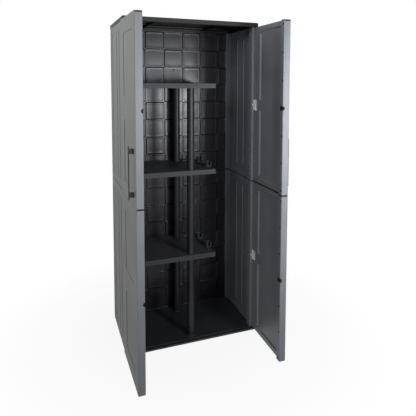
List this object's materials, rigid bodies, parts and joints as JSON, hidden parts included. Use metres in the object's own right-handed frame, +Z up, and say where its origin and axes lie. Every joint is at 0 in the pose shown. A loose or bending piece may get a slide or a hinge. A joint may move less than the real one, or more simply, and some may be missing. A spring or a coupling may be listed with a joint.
{
  "type": "garden storage cabinet",
  "caption": "Tall freestanding utility cabinet with hinged twin doors, bar handles, shelves on tube posts and a broom bay.",
  "frame": {"origin": "middle of the base's underside, in plan and at floor level", "axes": "+Z up, +Y towards the back panel, +X to the right as the open front is faced"},
  "size_m": [0.7466, 0.7331, 1.64],
  "materials": {
    "base_plastic": "fine satin grain",
    "lid_plastic": "fine satin grain",
    "side_plastic": "satin, light texture",
    "door_plastic": "satin, light texture",
    "inner_plastic": "soft sheen",
    "black_profile": "satin",
    "handle_plastic": "satin",
    "rubber": "matt",
    "hinge_white": "soft sheen",
    "pin_steel": "plain",
    "shelf_plastic": "satin, light texture",
    "post_plastic": "soft sheen",
    "clip_plastic": "satin"
  },
  "bodies": {
    "cabinet": {"back_panel_lower": "inner_plastic", "back_panel_upper": "inner_plastic", "back_seam": "black_profile", "base_tray": "base_plastic", "broom_clips_1": "clip_plastic", "broom_clips_2": "clip_plastic", "front_post_1": "post_plastic", "front_post_2": "post_plastic", "front_post_3": "post_plastic", "hinge_bracket_left_lower": "hinge_white", "hinge_bracket_left_upper": "hinge_white", "hinge_bracket_right_lower": "hinge_white", "hinge_bracket_right_upper": "hinge_white", "hinge_pins": "pin_steel", "hinge_studs": "hinge_white", "rear_post_1": "post_plastic", "rear_post_2": "post_plastic", "rear_post_3": "post_plastic", "roof_lid": "lid_plastic", "shelf_1": "shelf_plastic", "shelf_2": "shelf_plastic", "shelf_3": "shelf_plastic", "shelf_pegs": "black_profile", "side_panel_left_lower": "side_plastic", "side_panel_left_upper": "side_plastic", "side_panel_right_lower": "side_plastic", "side_panel_right_upper": "side_plastic", "side_seam_left": "black_profile", "side_seam_right": "black_profile"},
    "left_door": {"door_buffer_left_lower": "rubber", "door_buffer_left_upper": "rubber", "door_cap_left": "black_profile", "door_joint_left": "black_profile", "door_left_lower": "door_plastic", "door_left_upper": "door_plastic", "handle_left": "handle_plastic", "hinge_leaf_left_lower": "hinge_white", "hinge_leaf_left_upper": "hinge_white"},
    "right_door": {"door_buffer_right_lower": "rubber", "door_buffer_right_upper": "rubber", "door_cap_right": "black_profile", "door_joint_right": "black_profile", "door_right_lower": "door_plastic", "door_right_upper": "door_plastic", "handle_right": "handle_plastic", "hinge_leaf_right_lower": "hinge_white", "hinge_leaf_right_upper": "hinge_white"}
  },
  "joints": [
    {"name": "right_door_hinge", "type": "hinge", "parent": "cabinet", "child": "right_door", "pos_m": [0.3397, -0.1903, 0.8], "axis": [0, 0, 1], "range_deg": [-89.4, 20]},
    {"name": "left_door_hinge", "type": "hinge", "parent": "cabinet", "child": "left_door", "pos_m": [-0.3397, -0.1903, 0.8], "axis": [0, 0, -1], "range_deg": [-89.4, 20]}
  ]
}
